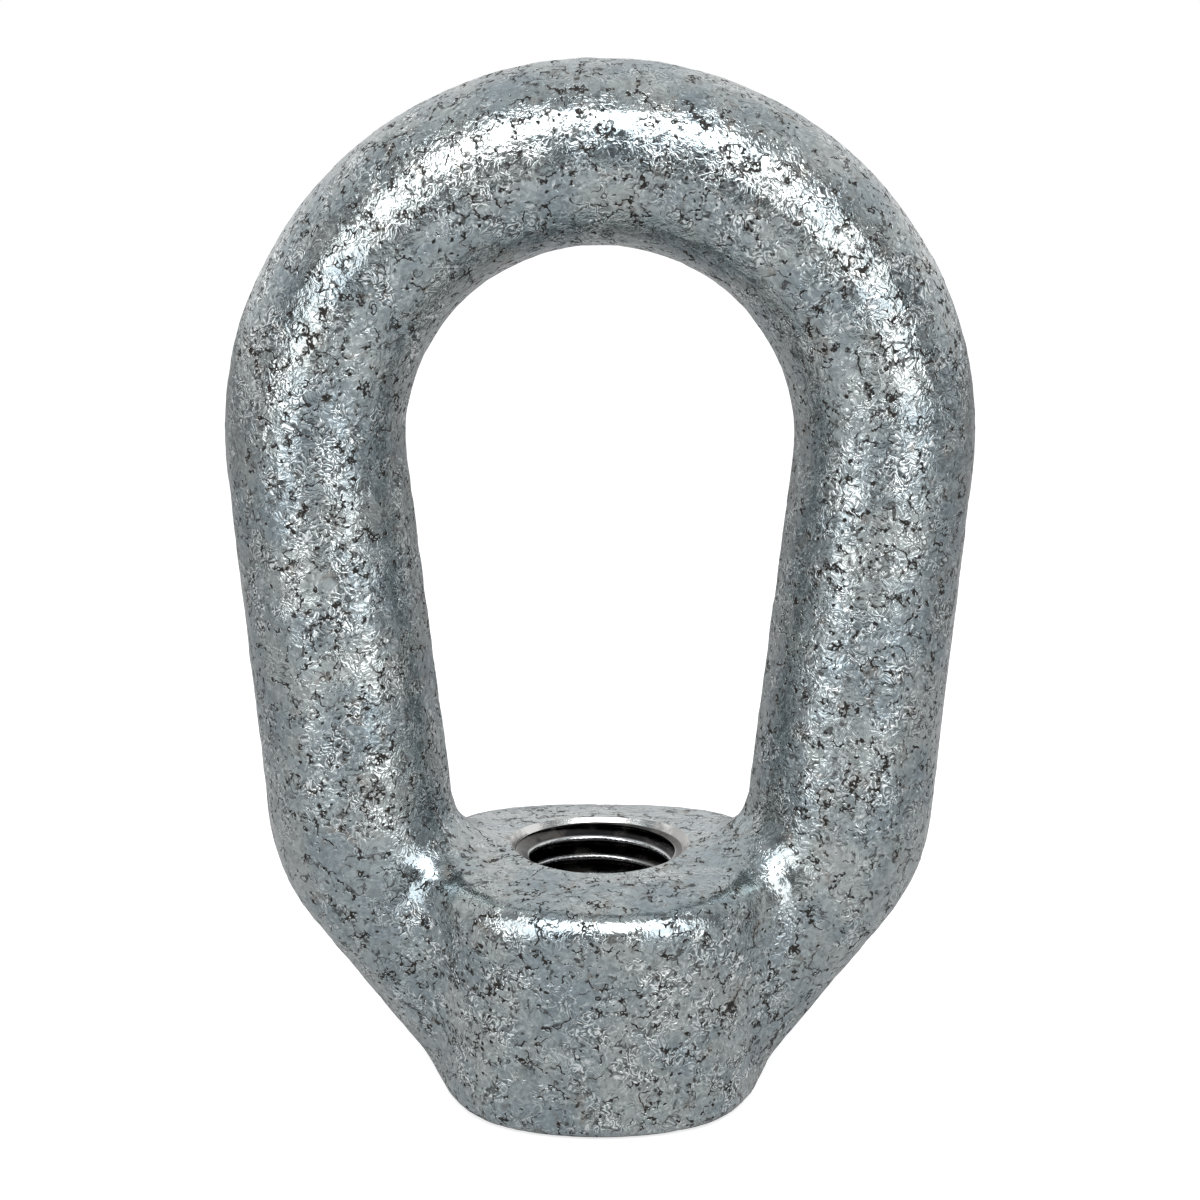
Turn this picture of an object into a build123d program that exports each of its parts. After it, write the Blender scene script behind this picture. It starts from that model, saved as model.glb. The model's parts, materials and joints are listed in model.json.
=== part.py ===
from build123d import *
from math import cos, radians, sin
import os

# A forged, galvanised lifting eye nut with a 16 mm thread. It stands on its hub:
# the origin is the middle of the hub's base, +Z runs up through the tapped bore,
# X runs from leg to leg and Y through the eye. Lengths in millimetres, angles in degrees.

# Hub: a block with four bowed faces and well rounded corners, a little wider at the top.
# Its top falls away to the front and the back from the line where the dies met.
hub_height = 25.1
hub_width = 33.2
hub_depth = 34.2
hub_face_radius = 22.0
hub_corner_radius = 12.0
hub_draft = 3.5
top_radius = 90.0
rim_radius = 2.8
base_edge_radius = 2.4

# Tapped bore, left plain at the thread's minor diameter, with a chamfer at each mouth
thread_minor_diameter = 14.2
mouth_diameter = 18.0

# Eye: a round bar that rises from the hub, arches over and comes back down
arch_radius = 27.5
arch_rise = 40.75
crown_bar_diameter = 17.2
leg_bar_diameter = 18.1
leg_lean = 5.8

# Shoulders: where the bar turns inwards beside the hub and dies into its rounded base
shoulder_lean = 37.8
shoulder_radius = 18.5
toe_inset = 0.2

# Blend between the bar and the hub
blend_radius = 5.6

bore_radius = thread_minor_diameter / 2
arch_height = hub_height + arch_rise

# A level cut through the leaning leg is an ellipse, and the shoulder keeps that section.
section_depth = leg_bar_diameter / 2
section_width = section_depth / cos(radians(leg_lean))
leg_down = Vector(-sin(radians(leg_lean)), 0, -cos(radians(leg_lean)))
shoulder_down = Vector(-sin(radians(shoulder_lean)), 0, -cos(radians(shoulder_lean)))
leg_top = Vector(
    arch_radius * cos(radians(leg_lean)), 0, arch_height - arch_radius * sin(radians(leg_lean))
)
# The shoulder's outer line ends just inside the base's rounding, where both lean alike.
toe_reach = hub_width / 2 - base_edge_radius * (1 - cos(radians(shoulder_lean))) - toe_inset
toe_height = base_edge_radius * (1 - sin(radians(shoulder_lean)))
toe = Vector(toe_reach - section_width, 0, toe_height)

# The leg's middle line: down from the arch, round the shoulder's bend and in to the toe.
toe_line = Line(toe, toe - shoulder_down * arch_height)
leg_line = IntersectingLine(leg_top, leg_down, toe_line)
leg_path = FilletPolyline(leg_top, leg_line @ 1, toe, radius=shoulder_radius)
leg_run, *shoulder_runs = leg_path.edges().sort_by(Axis.Z, reverse=True)
bend_top = leg_run.vertices().sort_by(Axis.Z)[0].center()

with BuildPart() as leg:
    with BuildSketch(Plane.XY.offset(bend_top.Z)) as level_section:
        with Locations((bend_top.X, 0)):
            Ellipse(section_width, section_depth)
    sweep(path=Wire(shoulder_runs), normal=(0, 0, 1))
    # The bar thins out from the shoulder up to the crown.
    with BuildSketch(Plane(origin=leg_top, x_dir=(0, 1, 0), z_dir=leg_down)) as crown_section:
        Circle(crown_bar_diameter / 2)
    loft(sections=[crown_section.sketch, level_section.sketch])

with BuildPart() as hub:
    with BuildSketch() as hub_section:
        # Four bows meet in four corners; the first, larger disc is what they cut down.
        Circle(hub_face_radius * 2)
        for size, direction in ((hub_width, Vector(1, 0)), (hub_depth, Vector(0, 1))):
            for bow_centre in (
                direction * (hub_face_radius - size / 2),
                direction * (size / 2 - hub_face_radius),
            ):
                with Locations(bow_centre):
                    Circle(hub_face_radius, mode=Mode.INTERSECT)
        fillet(hub_section.vertices(), hub_corner_radius)
    extrude(amount=2 * hub_height, taper=-hub_draft)
    with BuildSketch(Plane.YZ):
        with Locations((0, hub_height - top_radius)):
            Circle(top_radius)
    extrude(amount=hub_width, both=True, mode=Mode.INTERSECT)
    fillet(hub.faces().sort_by(Axis.Z)[-1].edges(), rim_radius)
    fillet(hub.faces().sort_by(Axis.Z)[0].edges(), base_edge_radius)

with BuildPart() as eye_nut:
    with BuildSketch(Plane(origin=leg_top, x_dir=(0, 1, 0), z_dir=leg_down)):
        Circle(crown_bar_diameter / 2)
    revolve(
        axis=Axis((0, 0, arch_height), (0, -1, 0)),
        revolution_arc=180 + 2 * leg_lean,
    )
    add(leg.part)
    mirror(leg.part, about=Plane.YZ)
    add(hub.part)
    # The line along which the bar meets the hub is one smooth loop on each side.
    fillet(eye_nut.edges(Select.NEW), blend_radius)
    for face_height, outward in ((hub_height, 1), (0, -1)):
        with Locations(Plane(origin=(0, 0, face_height), z_dir=(0, 0, outward))):
            CounterSinkHole(bore_radius, mouth_diameter / 2, depth=hub_height, counter_sink_angle=90)

eye_nut.part.label = "eye_nut"
os.makedirs("parts", exist_ok=True)
export_step(eye_nut.part, "parts/eye_nut.step")
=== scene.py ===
"""The lifting eye nut, dressed: a hot-dip galvanised forging with a real thread cut in its hub."""

import json
from math import cos, pi, radians, sin, tan

import bpy
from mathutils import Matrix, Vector


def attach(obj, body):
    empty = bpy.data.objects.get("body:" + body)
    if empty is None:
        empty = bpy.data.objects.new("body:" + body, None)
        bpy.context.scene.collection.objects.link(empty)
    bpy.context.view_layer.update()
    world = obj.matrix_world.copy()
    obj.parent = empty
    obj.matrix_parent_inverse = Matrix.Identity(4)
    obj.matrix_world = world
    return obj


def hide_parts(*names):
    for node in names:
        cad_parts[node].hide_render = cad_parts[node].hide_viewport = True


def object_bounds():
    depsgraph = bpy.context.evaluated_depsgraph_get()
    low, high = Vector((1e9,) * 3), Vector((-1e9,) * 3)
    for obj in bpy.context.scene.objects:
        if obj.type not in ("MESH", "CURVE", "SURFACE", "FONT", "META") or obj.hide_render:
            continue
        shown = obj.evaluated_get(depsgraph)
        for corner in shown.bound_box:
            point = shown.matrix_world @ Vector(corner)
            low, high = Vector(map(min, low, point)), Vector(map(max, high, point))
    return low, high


MM = 0.001

# Thread: the plain bore of the solid is the minor diameter, and these finish it.
THREAD_PITCH = 2.0 * MM
THREAD_DEPTH = 1.3 * MM
THREAD_ROOT = 0.2 * MM
THREAD_FLANK = radians(30)
CREST_ROUNDING = 0.2 * MM
THREAD_START = radians(114)
STEPS_IN_A_TURN = 80
CREST_STEPS = 3
PLUG_RINGS = 12
TAP_OVERRUN = 2.0 * MM
COUNTERSINK_DEPTH = 0.85 * MM
COUNTERSINK_FLANK = radians(37)

# Run-in from the countersink down to the thread's crests: where it starts, as a share of the
# countersink's depth, and its narrow end, as a share of the minor radius
RUN_IN_FLANK = radians(70)
RUN_IN_START = 0.97
RUN_IN_TIP = 0.95

# The hub's top face curves down to the front and the back.
HUB_TOP_RADIUS = 90.0 * MM

# Zinc skin: the grid of the dressed forging, its swells and wrinkles, and the dies' parting line
SKIN_GRID = 0.5 * MM
SWELL_SIZE = 9.0 * MM
SWELL_HEIGHT = 0.22 * MM
WRINKLE_SIZE = 2.4 * MM
WRINKLE_HEIGHT = 0.22 * MM
PARTING_WIDTH = 0.8 * MM
PARTING_HEIGHT = 0.2 * MM
SHARP_EDGE = radians(38)

# Where the skin lies calm: near the base and the hub's top, and round the mouth in its radii
BASE_BAND = (0.2 * MM, 2 * MM)
TOP_BAND = (1.5 * MM, 3 * MM)
CALM_ROUND_MOUTH = (1.1, 1.7)
SEAMLESS_ROUND_MOUTH = (1.1, 1.25)

# Where the zinc ran smoother, in millimetres above the hub's top and above the crown,
# and how much of the relief, the speckle with its painted glints, highlights and shade,
# and the pits it lost there
RIM_STARTS = (-4.5, -2.5)
RIM_ENDS = (1, 5)
CROWN_STARTS = (-5.5, -2)
CROWN_SHARE = 0.8
CALMER_RELIEF = 0.45
CALMER_SPECKLE_AND_PAINTED_LIGHT = 0.6
FEWER_PITS = 0.6

# Speckle, with the painted glints and the curls' painted highlight and shade, where the zinc
# is calm, and how much more there is where it is busy
CALM_SPECKLE_AND_PAINTED_LIGHT = 0.4
BUSY_SPECKLE_AND_PAINTED_LIGHT = 0.75

# How dark a scratch is beside a pit, and how much less metallic both are than bare zinc
SCRATCH_DARKNESS = 0.8
DULL_PITS = 0.3

# The zinc's noises: size in millimetres, detail and roughness
STIR_SIZE = 1.6
CURL_SIZE = 1.5
CURLS_IN_A_LUMP = 9
CRINKLE = (0.5, 2.0, 0.55)
GRAIN = (0.38, 2.0, 0.6)
FOLD_LINES = (1.2, 2.0, 0.5)
CRACK_LINES = (4.2, 4.0, 0.62)
SCRATCH_LINES = (2.2, 3.0, 0.55)
PIT_SIZE = 0.8
PIT_STIR = 0.6

# Patches: size in millimetres, the noise where one starts and is full, detail and roughness
CURL_PATCHES = (2.6, 0.36, 0.62, 1.0)
PIT_PATCHES = (4.5, 0.38, 0.56)
CRACK_LENGTHS = (1.1, 0.46, 0.56)
SCRATCH_LENGTHS = (1.3, 0.5, 0.58, 1.0)
RUST_PATCHES = (2.0, 0.52, 0.7)
TONE_PATCHES = (7.0, 0.36, 0.66, 3.0, 0.6)
BUSY_PATCHES = (8.0, 0.36, 0.62)
MOTTLE = (0.7, 0.3, 0.66, 3.0, 0.65)
STAIN_PATCHES = (3.0, 0.45, 0.62, 3.0, 0.6)

# Edges: where a pattern's mask starts to change and where it is done
PIT_EDGE = (0.18, 0.27)
PITTED_CELLS = (0.52, 0.6)
CRACK_EDGE = (0.008, 0.018)
SCRATCH_EDGE = (0.01, 0.026)
RUST_EDGE = (0.01, 0.06)
# The pale grain's edge, which also bounds its painted glints
PALE_GRAIN_AND_GLINT_EDGE = (0.54, 0.68)
DARK_GRAIN_EDGE = (0.31, 0.41)
# The curls' painted highlight on their ridges and painted shade in their hollows
PAINTED_HIGHLIGHT_CURL_EDGE = (0.5, 0.9)
PAINTED_SHADE_CURL_EDGE = (0.4, 0.95)

# Relief of the zinc, in millimetres
CURL_HEIGHT = 0.012
CRINKLE_HEIGHT = 0.075
FOLD_HEIGHT = 0.12
GRAIN_HEIGHT = 0.02
PIT_DEPTH = 0.12
CRACK_DEPTH = 0.1

# Roughness: the plain zinc's, then what its mottle and its pits add; the same for the steel
ZINC_ROUGHNESS = 0.17
MOTTLE_ROUGHNESS = 0.06
PIT_ROUGHNESS = 0.45
STEEL_ROUGHNESS = 0.18
STAIN_ROUGHNESS = 0.12

COOL_ZINC = (0.255, 0.305, 0.328, 1)
WARM_ZINC = (0.38, 0.41, 0.405, 1)
MOTTLE_GREY = (0.085, 0.092, 0.098, 1)
RUST_BROWN = (0.17, 0.125, 0.085, 1)
# Pale grain, partly the zinc's grain and partly painted glints
PALE_GRAIN_AND_PAINTED_GLINT = (0.64, 0.67, 0.67, 1)
DARK_GRAIN = (0.04, 0.043, 0.044, 1)
# Painted highlight and painted shade for the curls
PAINTED_CURL_HIGHLIGHT = (0.8, 0.83, 0.83, 1)
PAINTED_CURL_SHADE = (0.03, 0.032, 0.033, 1)
PIT_BLACK = (0.015, 0.013, 0.011, 1)

# Cut steel, in millimetres: how far beyond a crest's radius its steel colour reaches, where the
# grooves' painted shade takes over, the countersink's edge, and the height of the tool's marks and
# the dents
CREST_SHINE = (0.04, 0.3)
GROOVE_SHADE_RADII = (7.2, 7.8)
RING_EDGE = 0.03
TOOL_MARKS_IN_A_MM = 9.0
TOOL_MARK_HEIGHT = 0.02
DENT_SIZE = 0.7
DENT_HEIGHT = 0.015

# Near black: painted shade in the thread's grooves
PAINTED_GROOVE_SHADE = (0.02, 0.02, 0.021, 1)
CREST_STEEL = (0.55, 0.56, 0.57, 1)
RING_STEEL = (0.62, 0.62, 0.61, 1)
OIL_STAIN = (0.13, 0.12, 0.11, 1)

# Camera, looking down a little at the middle of the nut
VIEW_ELEVATION = radians(13.76)
VIEW_ANGLE = radians(25.0)
VIEW_DISTANCE = 265.3 * MM
VIEW_HEIGHT = 49.9 * MM
SENSOR_WIDTH = 36.0
CAMERA_NEAREST = 0.01

# The floor lies this far under the base, so that the two don't share a plane, and it glows
# for the camera alone.
FLOOR_GAP = 0.02 * MM
FLOOR_REACH = 3.0
FLOOR_GREY = (0.54, 0.54, 0.54, 1)
FLOOR_ROUGHNESS = 0.9
FLOOR_GLOW = 0.7

# What the room shows: to reflections in front of the nut and behind it, with the headings
# between which one turns into the other; to everything else that it lights; to the camera
ROOM_IN_FRONT = (0.22, 0.225, 0.23, 1)
ROOM_BEHIND = (1.15, 1.15, 1.15, 1)
ROOM_TURN = (-0.5, 0.1)
ROOM_LIGHT = (0.5, 0.51, 0.52, 1)
WHITE = (1.0, 1.0, 1.0, 1)

# Softboxes: heading and height in degrees, width and height in metres, and brightness
SOFTBOX_DISTANCE = 0.5
SOFTBOXES = {
    "top_softbox": (0, 50, 0.5, 0.25, 7.5),
    "left_softbox": (-37, 12, 0.25, 0.42, 3.7),
    "right_softbox": (35, 14, 0.25, 0.42, 3.7),
}


class Socket:
    """A node's output. Arithmetic on it adds the Math node that works the value out."""

    def __init__(self, sheet, socket):
        self.sheet = sheet
        self.socket = socket

    def output(self, name):
        """Another output of the same node."""
        return Socket(self.sheet, self.socket.node.outputs[name])

    def math(self, operation, *values):
        return self.sheet.add("ShaderNodeMath", {"operation": operation}, *values)

    def __add__(self, other):
        return self.math("ADD", self, other)

    def __radd__(self, other):
        return self.math("ADD", other, self)

    def __sub__(self, other):
        return self.math("SUBTRACT", self, other)

    def __rsub__(self, other):
        return self.math("SUBTRACT", other, self)

    def __mul__(self, other):
        return self.math("MULTIPLY", self, other)

    def __rmul__(self, other):
        return self.math("MULTIPLY", other, self)

    def __truediv__(self, other):
        return self.math("DIVIDE", self, other)

    def __rtruediv__(self, other):
        return self.math("DIVIDE", other, self)

    def __neg__(self):
        return self * -1

    def __gt__(self, other):
        return self.math("GREATER_THAN", self, other)

    def __abs__(self):
        return self.math("ABSOLUTE", self)

    def sine(self):
        return self.math("SINE", self)

    def root(self):
        return self.math("SQRT", self)

    def exponential(self):
        return self.math("EXPONENT", self)

    def most(self, other):
        return self.math("MAXIMUM", self, other)

    def rise(self, low, high):
        """0 up to low, 1 from high on, and smooth between them."""
        place = {"Value": self, "From Min": low, "From Max": high}
        return self.sheet.add("ShaderNodeMapRange", {"interpolation_type": "SMOOTHSTEP"}, place)

    def fall(self, low, high):
        """1 up to low, 0 from high on, and smooth between them."""
        return 1 - self.rise(low, high)


class Sheet:
    """A node tree, written as expressions."""

    def __init__(self, tree):
        self.tree = tree

    def add(self, kind, settings, *values):
        """A node: its settings, then what its sockets get, in order or in a dict by name."""
        node = self.tree.nodes.new(kind)
        for name, setting in settings.items():
            setattr(node, name, setting)
        named = len(values) == 1 and isinstance(values[0], dict)
        for key, value in values[0].items() if named else enumerate(values):
            if isinstance(value, Socket):
                self.tree.links.new(value.socket, node.inputs[key])
            else:
                node.inputs[key].default_value = value
        shown = [socket for socket in node.outputs if socket.enabled]
        return Socket(self, shown[0]) if shown else None

    def vector(self, operation, *values):
        return self.add("ShaderNodeVectorMath", {"operation": operation}, *values)

    def scaled(self, place, factor):
        return self.add(
            "ShaderNodeVectorMath", {"operation": "SCALE"}, {"Vector": place, "Scale": factor}
        )

    def blend(self, amount, first, second):
        """The first colour where amount is 0, the second where it is 1."""
        # A colour Mix node's factor and its two colours, by the numbers of their sockets
        sockets = {0: amount, 6: first, 7: second}
        return self.add("ShaderNodeMix", {"data_type": "RGBA"}, sockets)

    def split(self, place):
        """The three parts of a place."""
        place = self.add("ShaderNodeSeparateXYZ", {}, place)
        return place, place.output("Y"), place.output("Z")

    def noise(self, place, size, detail=2.0, roughness=0.5):
        """Noise between 0 and 1 whose lumps are about one size apart."""
        return self.add(
            "ShaderNodeTexNoise",
            {},
            {"Vector": place, "Scale": 1 / size, "Detail": detail, "Roughness": roughness},
        )

    def patches(self, place, size, low, high, detail=2.0, roughness=0.5):
        """A mask of soft patches: noise of that size, from 0 at low to 1 at high."""
        return self.noise(place, size, detail, roughness).rise(low, high)

    def off_line(self, place, size, detail, roughness):
        """0 along winding lines, rising beside them: how far noise is from its middle."""
        return abs(self.noise(place, size, detail, roughness) - 0.5)

    def cells(self, place, size):
        """Voronoi cells about one size across."""
        return self.add("ShaderNodeTexVoronoi", {}, {"Vector": place, "Scale": 1 / size})

    def stirred(self, place, size, reach):
        """A place pushed aside by noise, up to about half of reach."""
        push = self.noise(place, size, 1.0).output("Color")
        push = self.vector("SUBTRACT", push, (0.5, 0.5, 0.5))
        return self.vector("ADD", place, self.scaled(push, reach))


SOCKET_KINDS = {
    float: "NodeSocketFloat",
    bpy.types.Object: "NodeSocketObject",
    bpy.types.Material: "NodeSocketMaterial",
}


class Recipe(Sheet):
    """A Geometry Nodes tree with named inputs, which turns one mesh into another."""

    def __init__(self, name, **inputs):
        super().__init__(bpy.data.node_groups.new(name, "GeometryNodeTree"))
        face = self.tree.interface
        face.new_socket("Geometry", in_out="INPUT", socket_type="NodeSocketGeometry")
        face.new_socket("Geometry", in_out="OUTPUT", socket_type="NodeSocketGeometry")
        self.values = {}
        for label, value in inputs.items():
            kind = SOCKET_KINDS[type(value)]
            socket = face.new_socket(label, in_out="INPUT", socket_type=kind)
            self.values[socket.identifier] = value
        self.entry = self.tree.nodes.new("NodeGroupInput")
        self.mesh = self.given("Geometry")

    def given(self, label):
        return Socket(self, self.entry.outputs[label])

    def position(self):
        return self.add("GeometryNodeInputPosition", {})

    def joined(self, *meshes):
        node = self.tree.nodes.new("GeometryNodeJoinGeometry")
        for mesh in reversed(meshes):
            self.tree.links.new(mesh.socket, node.inputs[0])
        return Socket(self, node.outputs[0])

    def put_on(self, piece, mesh):
        """Ends the tree at this mesh and adds it to the piece as a modifier."""
        mesh = self.add("GeometryNodeRealizeInstances", {}, {"Geometry": mesh})
        exit_node = self.tree.nodes.new("NodeGroupOutput")
        self.tree.links.new(mesh.socket, exit_node.inputs["Geometry"])
        modifier = piece.modifiers.new(self.tree.name, "NODES")
        modifier.node_group = self.tree
        for identifier, value in self.values.items():
            modifier[identifier] = value


def new_piece(name, mesh):
    piece = bpy.data.objects.new(name, mesh)
    bpy.context.scene.collection.objects.link(piece)
    return piece


def finish_mesh(piece):
    """The piece as its modifiers leave it, in a plain mesh of its own."""
    evaluated = piece.evaluated_get(bpy.context.evaluated_depsgraph_get())
    mesh = bpy.data.meshes.new_from_object(evaluated)
    piece.modifiers.clear()
    piece.data = mesh
    return mesh


# ---------------------------------------------------------------- finishes


def new_finish(name):
    """A material, its sheet, its Principled shader and the place on it in millimetres."""
    material = bpy.data.materials.new(name)
    material.use_nodes = True
    shader = material.node_tree.nodes["Principled BSDF"]
    sheet = Sheet(material.node_tree)
    place = sheet.add("ShaderNodeTexCoord", {}).output("Object")
    return material, sheet, shader, sheet.scaled(place, 1 / MM)


def feed(sheet, shader, **sockets):
    """Gives the shader's sockets their values or links."""
    for name, value in sockets.items():
        name = name.replace("_", " ").title()
        if isinstance(value, Socket):
            sheet.tree.links.new(value.socket, shader.inputs[name])
        else:
            shader.inputs[name].default_value = value


def bumped(sheet, height):
    """The normal of a surface whose height is given in millimetres."""
    return sheet.add("ShaderNodeBump", {}, {"Strength": 1.0, "Distance": MM, "Height": height})


def galvanised_zinc(hub_height, crown_height):
    """Grey zinc over forged steel: curled wrinkles, pits, hairline cracks and faint rust, with
    highlight and shade painted along the curls and glints painted into its pale grain.
    """
    material, sheet, shader, place = new_finish("galvanised_zinc")
    z = sheet.split(place)[2]
    above_hub = z - hub_height / MM
    above_crown = z - crown_height / MM
    rim = above_hub.rise(*RIM_STARTS) * above_hub.fall(*RIM_ENDS)
    smooth = rim.most(above_crown.rise(*CROWN_STARTS) * CROWN_SHARE)

    # The skin froze in curls: level lines of one noise, each a little ridge.
    stirred = sheet.stirred(place, STIR_SIZE, STIR_SIZE)
    waves = (sheet.noise(stirred, CURL_SIZE) * (2 * pi * CURLS_IN_A_LUMP)).sine()
    curls = waves * sheet.patches(place, *CURL_PATCHES)
    crinkle = sheet.noise(stirred, *CRINKLE)
    folds = sheet.off_line(stirred, *FOLD_LINES)
    grain = sheet.noise(stirred, *GRAIN)

    # Pits gather in patches; cracks follow the level line of a slow noise, in short lengths.
    pit_patches = sheet.patches(place, *PIT_PATCHES) * (1 - smooth * FEWER_PITS)
    pit_cells = sheet.cells(sheet.stirred(place, PIT_STIR, PIT_STIR), PIT_SIZE)
    chosen = sheet.add("ShaderNodeSeparateColor", {}, pit_cells.output("Color"))
    pits = pit_cells.fall(*PIT_EDGE) * chosen.rise(*PITTED_CELLS) * pit_patches
    crack_line = sheet.off_line(place, *CRACK_LINES)
    cracks = crack_line.fall(*CRACK_EDGE) * sheet.patches(place, *CRACK_LENGTHS)
    scratch_line = sheet.off_line(stirred, *SCRATCH_LINES)
    scratches = scratch_line.fall(*SCRATCH_EDGE) * sheet.patches(place, *SCRATCH_LENGTHS)
    dark = pits.most(cracks).most(scratches * SCRATCH_DARKNESS)

    # The zinc ran smoother over the crown, and over the hub's top and rim.
    height = curls * CURL_HEIGHT + crinkle * CRINKLE_HEIGHT
    height = height + folds * FOLD_HEIGHT + grain * GRAIN_HEIGHT
    height = height * (1 - smooth * CALMER_RELIEF)
    height = height - pits * PIT_DEPTH - cracks * CRACK_DEPTH

    # Cool and warm greys, darker in a fine mottle, with brown round some of the cracks
    tone = sheet.patches(place, *TONE_PATCHES)
    mottle = sheet.patches(stirred, *MOTTLE)
    rust = crack_line.fall(*RUST_EDGE) * sheet.patches(place, *RUST_PATCHES)
    busy = sheet.patches(place, *BUSY_PATCHES)
    # Strength of the speckle together with its painted glints, highlights and shade
    speckle_and_painted_light = (1 - smooth * CALMER_SPECKLE_AND_PAINTED_LIGHT) * (busy * BUSY_SPECKLE_AND_PAINTED_LIGHT + CALM_SPECKLE_AND_PAINTED_LIGHT)
    colour = sheet.blend(tone, COOL_ZINC, WARM_ZINC)

    # What is laid over them, one on the other: how much of it there is, and its colour
    layers = (
        ((1 - mottle) * 0.45, MOTTLE_GREY),
        (rust * 0.4, RUST_BROWN),
        # Pale grain: partly real grain, partly painted glints
        (grain.rise(*PALE_GRAIN_AND_GLINT_EDGE) * 0.6 * speckle_and_painted_light, PALE_GRAIN_AND_PAINTED_GLINT),
        (grain.fall(*DARK_GRAIN_EDGE) * 0.6 * speckle_and_painted_light, DARK_GRAIN),
        # Painted highlight along the curls' ridges, painted shade along their hollows
        (curls.rise(*PAINTED_HIGHLIGHT_CURL_EDGE) * speckle_and_painted_light * 0.75, PAINTED_CURL_HIGHLIGHT),
        ((-curls).rise(*PAINTED_SHADE_CURL_EDGE) * speckle_and_painted_light * 0.5, PAINTED_CURL_SHADE),
        (dark, PIT_BLACK),
    )
    for amount, paint in layers:
        colour = sheet.blend(amount, colour, paint)

    feed(
        sheet,
        shader,
        base_color=colour,
        metallic=1 - dark * DULL_PITS,
        roughness=ZINC_ROUGHNESS + mottle * MOTTLE_ROUGHNESS + dark * PIT_ROUGHNESS,
        normal=bumped(sheet, height),
    )
    return material


def cut_steel(hub_height, minor_radius, mouth_radius):
    """The tapped bore: bright countersinks, polished thread crests and grooves painted near black
    as shade.
    """
    material, sheet, shader, place = new_finish("cut_steel")
    x, y, z = sheet.split(place)
    reach = (x * x + y * y).root()
    half = hub_height / 2 / MM
    depth = half - abs(z - half)
    turning = sheet.add(
        "ShaderNodeTexNoise",
        {"noise_dimensions": "2D"},
        {
            "Vector": sheet.add("ShaderNodeCombineXYZ", {}, reach, z, 0.0),
            "Scale": TOOL_MARKS_IN_A_MM,
        },
    )
    stain = sheet.patches(place, *STAIN_PATCHES)

    # The crests are cut back by the run-in near each mouth; below them the grooves are painted near
    # black as shade.
    sink_depth = COUNTERSINK_DEPTH / MM
    ring_radius = mouth_radius / MM - sink_depth * tan(COUNTERSINK_FLANK)
    crest_radius = ring_radius - (depth - sink_depth) * tan(RUN_IN_FLANK)
    crest_radius = crest_radius.most(minor_radius / MM)
    crest = (reach - crest_radius).fall(*CREST_SHINE) * reach.fall(*GROOVE_SHADE_RADII)
    ring = depth.fall(sink_depth - RING_EDGE, sink_depth + RING_EDGE)
    # The grooves are painted near black as shade; the crests keep the steel's colour
    colour = sheet.blend(crest, PAINTED_GROOVE_SHADE, CREST_STEEL)
    colour = sheet.blend(ring, colour, RING_STEEL)
    colour = sheet.blend(stain * 0.5, colour, OIL_STAIN)
    height = turning * TOOL_MARK_HEIGHT + sheet.noise(place, DENT_SIZE) * DENT_HEIGHT
    feed(
        sheet,
        shader,
        base_color=colour,
        metallic=1.0,
        roughness=STEEL_ROUGHNESS + stain * STAIN_ROUGHNESS,
        normal=bumped(sheet, height),
    )
    return material


# ---------------------------------------------------------------- the forging


def plug_bore(piece, hub_height, mouth_radius):
    """Fills the bore level with the hub's top, so that the skin grows over one plain surface."""
    recipe = Recipe(
        "plug", Hub_Height=hub_height, Radius=mouth_radius + MM, Top_Radius=HUB_TOP_RADIUS
    )
    height = recipe.given("Hub_Height")
    plug = recipe.add(
        "GeometryNodeMeshCylinder",
        {},
        {
            "Vertices": STEPS_IN_A_TURN,
            "Fill Segments": PLUG_RINGS,
            "Radius": recipe.given("Radius"),
            "Depth": height,
        },
    )
    _, y, z = recipe.split(recipe.position())
    drop = y * y / recipe.given("Top_Radius") * -0.5 * (z > 0)
    drop = recipe.add("ShaderNodeCombineXYZ", {}, 0.0, 0.0, drop + height / 2)
    plug = recipe.add("GeometryNodeSetPosition", {}, {"Geometry": plug, "Offset": drop})
    solid = recipe.add("GeometryNodeMergeByDistance", {}, {"Geometry": recipe.mesh})
    recipe.put_on(piece, recipe.joined(solid, plug))


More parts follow.
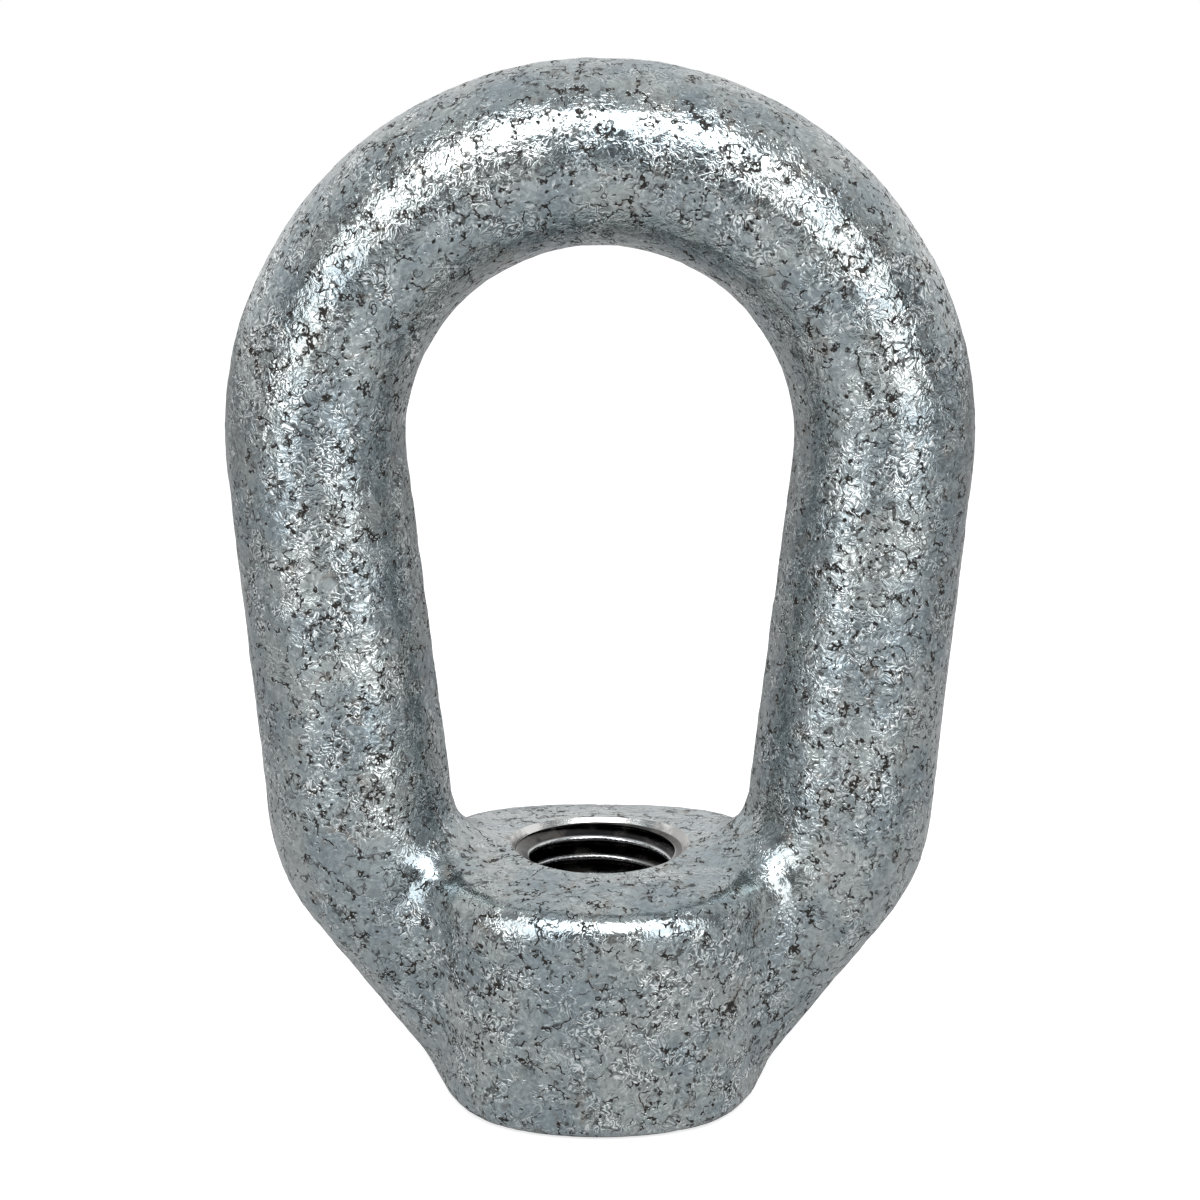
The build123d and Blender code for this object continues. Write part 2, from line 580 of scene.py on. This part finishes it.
def grow_skin(piece, hub_height, mouth_radius, zinc):
    """Raises the zinc's swells and wrinkles and the faint seam where the dies met."""
    recipe = Recipe(
        "skin",
        Hub_Height=hub_height,
        Mouth_Radius=mouth_radius,
        Swell_Size=SWELL_SIZE,
        Swell_Height=SWELL_HEIGHT,
        Wrinkle_Size=WRINKLE_SIZE,
        Wrinkle_Height=WRINKLE_HEIGHT,
        Parting_Width=PARTING_WIDTH,
        Parting_Height=PARTING_HEIGHT,
        Zinc=zinc,
    )
    place = recipe.position()
    x, y, z = recipe.split(place)
    swell = recipe.noise(place, recipe.given("Swell_Size"), 1.0) - 0.5
    stirred = recipe.stirred(place, WRINKLE_SIZE, WRINKLE_SIZE)
    wrinkle = recipe.noise(stirred, recipe.given("Wrinkle_Size"), 2.0) - 0.5
    off_seam = y / recipe.given("Parting_Width")
    seam = (-(off_seam * off_seam)).exponential()
    height = swell * recipe.given("Swell_Height") + wrinkle * recipe.given("Wrinkle_Height")
    # The base keeps the solid's level, and so nearly does the hub's top round the mouth.
    reach = (x * x + y * y).root() / recipe.given("Mouth_Radius")
    top = abs(z - recipe.given("Hub_Height")).fall(*TOP_BAND)
    height = height * (1 - reach.fall(*CALM_ROUND_MOUTH) * top)
    ridge = seam * recipe.given("Parting_Height") * (1 - reach.fall(*SEAMLESS_ROUND_MOUTH) * top)
    height = (height + ridge) * z.rise(*BASE_BAND)
    offset = recipe.scaled(recipe.add("GeometryNodeInputNormal", {}), height)
    mesh = recipe.add(
        "GeometryNodeSetPosition", {}, {"Geometry": recipe.mesh, "Offset": offset}
    )
    mesh = recipe.add(
        "GeometryNodeSetMaterial", {}, {"Geometry": mesh, "Material": recipe.given("Zinc")}
    )
    recipe.put_on(piece, mesh)


def thread_tooth():
    """The outline of one groove of the thread, as a closed curve.

    X goes into the wall and Y along the bore. It runs from the root down the flank, round the
    crest's edge and back inside the hole.
    """
    turn = pi / 2 - THREAD_FLANK
    edge = THREAD_ROOT / 2 + THREAD_DEPTH * tan(THREAD_FLANK)
    start = edge - CREST_ROUNDING * tan(turn / 2) * sin(THREAD_FLANK)
    depth = CREST_ROUNDING * tan(turn / 2) * cos(THREAD_FLANK)
    side = [(THREAD_ROOT / 2, THREAD_DEPTH)]
    for step in range(CREST_STEPS + 1):
        angle = turn * step / CREST_STEPS
        side.append(
            (
                start + CREST_ROUNDING * (sin(turn) - sin(turn - angle)),
                depth - CREST_ROUNDING * (cos(turn - angle) - cos(turn)),
            )
        )
    lip = CREST_ROUNDING / 4
    side.append((side[-1][0] + lip, -lip))
    side.append((side[-1][0], -THREAD_DEPTH / 6))
    outline = side + [(-x, y) for x, y in reversed(side)]
    curve = bpy.data.curves.new("thread_tooth", "CURVE")
    spline = curve.splines.new("POLY")
    spline.points.add(len(outline) - 1)
    for point, (x, y) in zip(spline.points, outline):
        point.co = (y, x, 0, 1)
    spline.use_cyclic_u = True
    return bpy.data.objects.new("thread_tooth", curve)


def tap_bore(piece, hub_height, minor_radius, mouth_radius, steel):
    """Drills the hub through, countersinks both mouths and cuts the thread with a helical tooth."""
    recipe = Recipe(
        "tap",
        Hub_Height=hub_height,
        Minor_Radius=minor_radius,
        Pitch=THREAD_PITCH,
        Overrun=TAP_OVERRUN,
        Start=THREAD_START,
        Tooth=thread_tooth(),
        Steel=steel,
    )
    height, minor, pitch, overrun = (
        recipe.given(label) for label in ("Hub_Height", "Minor_Radius", "Pitch", "Overrun")
    )
    length = height + overrun * 2

    def placed(mesh, lift, turn=0.0, roll=0.0):
        """The mesh lifted along the bore's axis, turned about it and rolled over."""
        lift = recipe.add("ShaderNodeCombineXYZ", {}, 0.0, 0.0, lift)
        turns = recipe.add("ShaderNodeCombineXYZ", {}, roll, 0.0, turn)
        return recipe.add(
            "GeometryNodeTransform",
            {},
            {"Geometry": mesh, "Translation": lift, "Rotation": turns},
        )

    def cone(narrow, wide, flank):
        """A cone from one radius to a wider one, its side leaning that far from the bore's axis."""
        depth = (wide - narrow) / tan(flank)
        sizes = {
            "Vertices": STEPS_IN_A_TURN,
            "Radius Top": wide,
            "Radius Bottom": narrow,
            "Depth": depth,
        }
        return recipe.add("GeometryNodeMeshCone", {}, sizes), depth

    drill = recipe.add(
        "GeometryNodeMeshCylinder",
        {},
        {"Vertices": STEPS_IN_A_TURN, "Radius": minor, "Depth": length},
    )
    ring_radius = mouth_radius - COUNTERSINK_DEPTH * tan(COUNTERSINK_FLANK)
    sink, _ = cone(ring_radius, mouth_radius + TAP_OVERRUN, COUNTERSINK_FLANK)
    # The run-in starts just inside the countersink and ends narrower than the hole.
    run_in, run_in_depth = cone(minor_radius * RUN_IN_TIP, ring_radius, RUN_IN_FLANK)
    run_in_depth += COUNTERSINK_DEPTH * RUN_IN_START
    path = recipe.add(
        "GeometryNodeCurveSpiral",
        {},
        {
            "Resolution": STEPS_IN_A_TURN,
            "Rotations": length / pitch,
            "Start Radius": minor,
            "End Radius": minor,
            "Height": length,
            "Reverse": True,
        },
    )
    path = recipe.add("GeometryNodeSetCurveNormal", {"mode": "Z_UP"}, {"Curve": path})
    tooth = recipe.add("GeometryNodeObjectInfo", {}, {"Object": recipe.given("Tooth")})
    tooth = tooth.output("Geometry")
    coil = recipe.add(
        "GeometryNodeCurveToMesh", {}, {"Curve": path, "Profile Curve": tooth, "Fill Caps": True}
    )
    cutters = (
        placed(drill, height / 2),
        placed(run_in, height - run_in_depth),
        placed(run_in, run_in_depth, roll=pi),
        placed(sink, height - COUNTERSINK_DEPTH),
        placed(sink, COUNTERSINK_DEPTH, roll=pi),
        placed(coil, -overrun, turn=recipe.given("Start")),
    )
    cut = recipe.mesh
    for cutter in cutters:
        cutter = recipe.add(
            "GeometryNodeSetMaterial", {}, {"Geometry": cutter, "Material": recipe.given("Steel")}
        )
        cut = recipe.add(
            "GeometryNodeMeshBoolean",
            {"operation": "DIFFERENCE", "solver": "MANIFOLD"},
            {"Mesh 1": cut, "Mesh 2": cutter},
        )
    recipe.put_on(piece, cut)


def dress_forging(solid, crown_height, hub_height, minor_radius, mouth_radius):
    """The whole nut in one closed mesh, grown from the solid."""
    piece = new_piece("galvanised_forging", solid.data.copy())
    plug_bore(piece, hub_height, mouth_radius)
    remesh = piece.modifiers.new("skin_grid", "REMESH")
    remesh.mode = "VOXEL"
    remesh.voxel_size = SKIN_GRID
    remesh.use_smooth_shade = True
    zinc = galvanised_zinc(hub_height, crown_height)
    grow_skin(piece, hub_height, mouth_radius, zinc)
    steel = cut_steel(hub_height, minor_radius, mouth_radius)
    tap_bore(piece, hub_height, minor_radius, mouth_radius, steel)
    mesh = finish_mesh(piece)
    mesh.shade_smooth()
    mesh.set_sharp_from_angle(angle=SHARP_EDGE)
    return piece


# ---------------------------------------------------------------- studio


def aim(thing, azimuth, elevation, distance, target):
    """Puts a lamp or camera at that direction and distance, looking at the target."""
    direction = Vector(
        (sin(azimuth) * cos(elevation), -cos(azimuth) * cos(elevation), sin(elevation))
    )
    thing.location = target + direction * distance
    thing.rotation_euler = direction.to_track_quat("Z", "Y").to_euler()
    bpy.context.scene.collection.objects.link(thing)


def add_softbox(name, azimuth, elevation, width, height, brightness, target):
    """A softbox that looks that many times as bright as a white wall."""
    light = bpy.data.lights.new(name, "AREA")
    light.shape = "RECTANGLE"
    light.size = width
    light.size_y = height
    light.energy = brightness * pi * width * height
    holder = bpy.data.objects.new(name, light)
    aim(holder, radians(azimuth), radians(elevation), SOFTBOX_DISTANCE, target)


def add_world():
    """A plain room: white to the camera, and to reflections white behind and dim in front."""
    world = bpy.data.worlds.new("studio")
    world.use_nodes = True
    sheet = Sheet(world.node_tree)
    background = world.node_tree.nodes["Background"]
    rays = sheet.add("ShaderNodeLightPath", {})
    heading = sheet.split(sheet.add("ShaderNodeTexCoord", {}).output("Generated"))[1]
    room = sheet.blend(heading.rise(*ROOM_TURN), ROOM_IN_FRONT, ROOM_BEHIND)
    room = sheet.blend(rays.output("Is Glossy Ray"), ROOM_LIGHT, room)
    shade = sheet.blend(rays.output("Is Camera Ray"), room, WHITE)
    sheet.tree.links.new(shade.socket, background.inputs["Color"])
    bpy.context.scene.world = world


def add_floor():
    """A pale floor that the camera sees near white, and that still takes the nut's shadow."""
    material = bpy.data.materials.new("white_sweep")
    material.use_nodes = True
    shader = material.node_tree.nodes["Principled BSDF"]
    sheet = Sheet(material.node_tree)
    seen = sheet.add("ShaderNodeLightPath", {}).output("Is Camera Ray")
    feed(
        sheet,
        shader,
        base_color=FLOOR_GREY,
        roughness=FLOOR_ROUGHNESS,
        emission_color=WHITE,
        emission_strength=seen * FLOOR_GLOW,
    )
    mesh = bpy.data.meshes.new("white_sweep")
    corners = ((-1, -1), (1, -1), (1, 1), (-1, 1))
    corners = [(x * FLOOR_REACH, y * FLOOR_REACH, -FLOOR_GAP) for x, y in corners]
    mesh.from_pydata(corners, [], [(0, 1, 2, 3)])
    mesh.materials.append(material)
    floor = new_piece("white_sweep", mesh)


def add_camera(target):
    """The camera, whose picture is as wide as the view angle."""
    camera = bpy.data.cameras.new("camera")
    camera.sensor_width = SENSOR_WIDTH
    camera.lens = camera.sensor_width / 2 / tan(VIEW_ANGLE / 2)
    camera.clip_start = CAMERA_NEAREST
    holder = bpy.data.objects.new("camera", camera)
    aim(holder, 0.0, VIEW_ELEVATION, VIEW_DISTANCE, target)
    bpy.context.scene.camera = holder


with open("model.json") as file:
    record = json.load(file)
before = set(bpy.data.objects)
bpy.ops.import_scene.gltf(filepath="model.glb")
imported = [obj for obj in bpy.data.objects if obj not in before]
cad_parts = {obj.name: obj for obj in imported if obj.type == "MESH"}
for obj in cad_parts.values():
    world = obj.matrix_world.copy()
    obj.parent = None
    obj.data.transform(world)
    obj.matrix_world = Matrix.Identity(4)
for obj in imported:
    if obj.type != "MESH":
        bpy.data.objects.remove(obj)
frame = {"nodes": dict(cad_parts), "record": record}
solid_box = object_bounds()
solid = frame["nodes"]["eye_nut"]
hole = next(mount for mount in frame["record"]["mounts"] if mount["name"] == "tapped_hole")

minor_radius = hole["dims"]["r_mm"] * MM
hub_height = 2 * hole["pos_m"][2]
mouth_radius = minor_radius + (hub_height - hole["dims"]["length_mm"] * MM) / 2
crown_height = solid_box[1][2]
forging = dress_forging(solid, crown_height, hub_height, minor_radius, mouth_radius)
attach(forging, "root")
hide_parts("eye_nut")

middle = Vector((0.0, 0.0, VIEW_HEIGHT))
add_world()
add_floor()
for name, settings in SOFTBOXES.items():
    add_softbox(name, *settings, middle)
add_camera(middle)
bpy.context.scene.view_settings.view_transform = "Standard"
